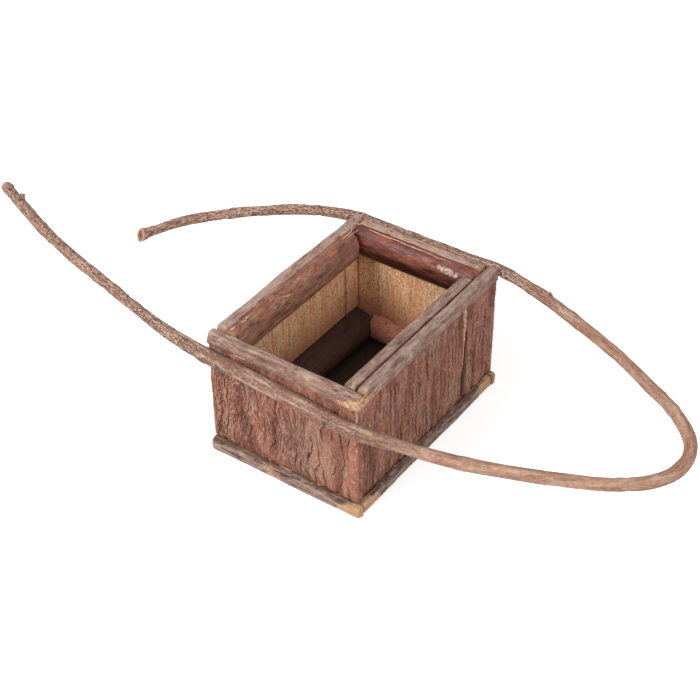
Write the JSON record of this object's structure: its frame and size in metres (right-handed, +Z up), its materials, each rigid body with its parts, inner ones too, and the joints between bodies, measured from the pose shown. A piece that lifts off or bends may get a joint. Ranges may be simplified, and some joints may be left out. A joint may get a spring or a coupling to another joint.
{
  "type": "rustic bark planter box with bent vine",
  "caption": "Open-topped rectangular wooden box with bark walls and split-branch edging, and a long vine bent round it like a hairpin, nailed along the front and the back wall.",
  "frame": {"origin": "centre of the underside of the floor board, in the plane that the box stands on", "axes": "+Z up, -Y out of the front wall, +X towards the bend of the vine"},
  "size_m": [0.4174, 0.1492, 0.0831],
  "materials": {
    "furrowed_bark": "rough furrowed reddish-brown bark",
    "pale_board": "sawn pale tan board with fine upright grain",
    "weathered_branch": "weathered grey-brown branch bark",
    "smooth_red_branch": "smooth dark red branch bark with a dull shine",
    "vine_bark": "dry grey-brown vine bark with lengthwise ridges",
    "nail_steel": "darkened steel"
  },
  "bodies": {
    "root": {"floor_board": "pale_board", "board_front": "pale_board", "board_back": "pale_board", "board_right": "pale_board", "board_left_near": "pale_board", "board_left_far": "pale_board", "bark_front": "furrowed_bark", "bark_back": "furrowed_bark", "bark_left": "furrowed_bark", "bark_right_near": "furrowed_bark", "bark_right_far": "furrowed_bark", "rim_strip_front": "weathered_branch", "rim_strip_back": "weathered_branch", "rim_strip_left": "weathered_branch", "rim_strip_right": "weathered_branch", "base_strip_front": "weathered_branch", "base_strip_back": "weathered_branch", "base_strip_left": "weathered_branch", "base_strip_right": "weathered_branch", "rim_rail_back": "smooth_red_branch", "rim_rail_left": "weathered_branch", "rim_rail_right": "weathered_branch", "base_rail_front": "weathered_branch", "base_rail_back": "weathered_branch", "base_rail_left": "weathered_branch", "base_rail_right": "weathered_branch", "bent_vine": "vine_bark", "nail_vine_front_1": "nail_steel", "nail_vine_front_2": "nail_steel", "nail_vine_back_1": "nail_steel", "nail_vine_back_2": "nail_steel", "pin_rim_back_1": "nail_steel", "pin_rim_back_2": "nail_steel", "pin_rim_left_1": "nail_steel", "pin_rim_left_2": "nail_steel", "pin_rim_right_1": "nail_steel", "pin_rim_right_2": "nail_steel", "pin_base_front_1": "nail_steel", "pin_base_front_2": "nail_steel", "pin_base_back_1": "nail_steel", "pin_base_back_2": "nail_steel", "pin_base_left_1": "nail_steel", "pin_base_left_2": "nail_steel", "pin_base_right_1": "nail_steel", "pin_base_right_2": "nail_steel"}
  },
  "joints": []
}
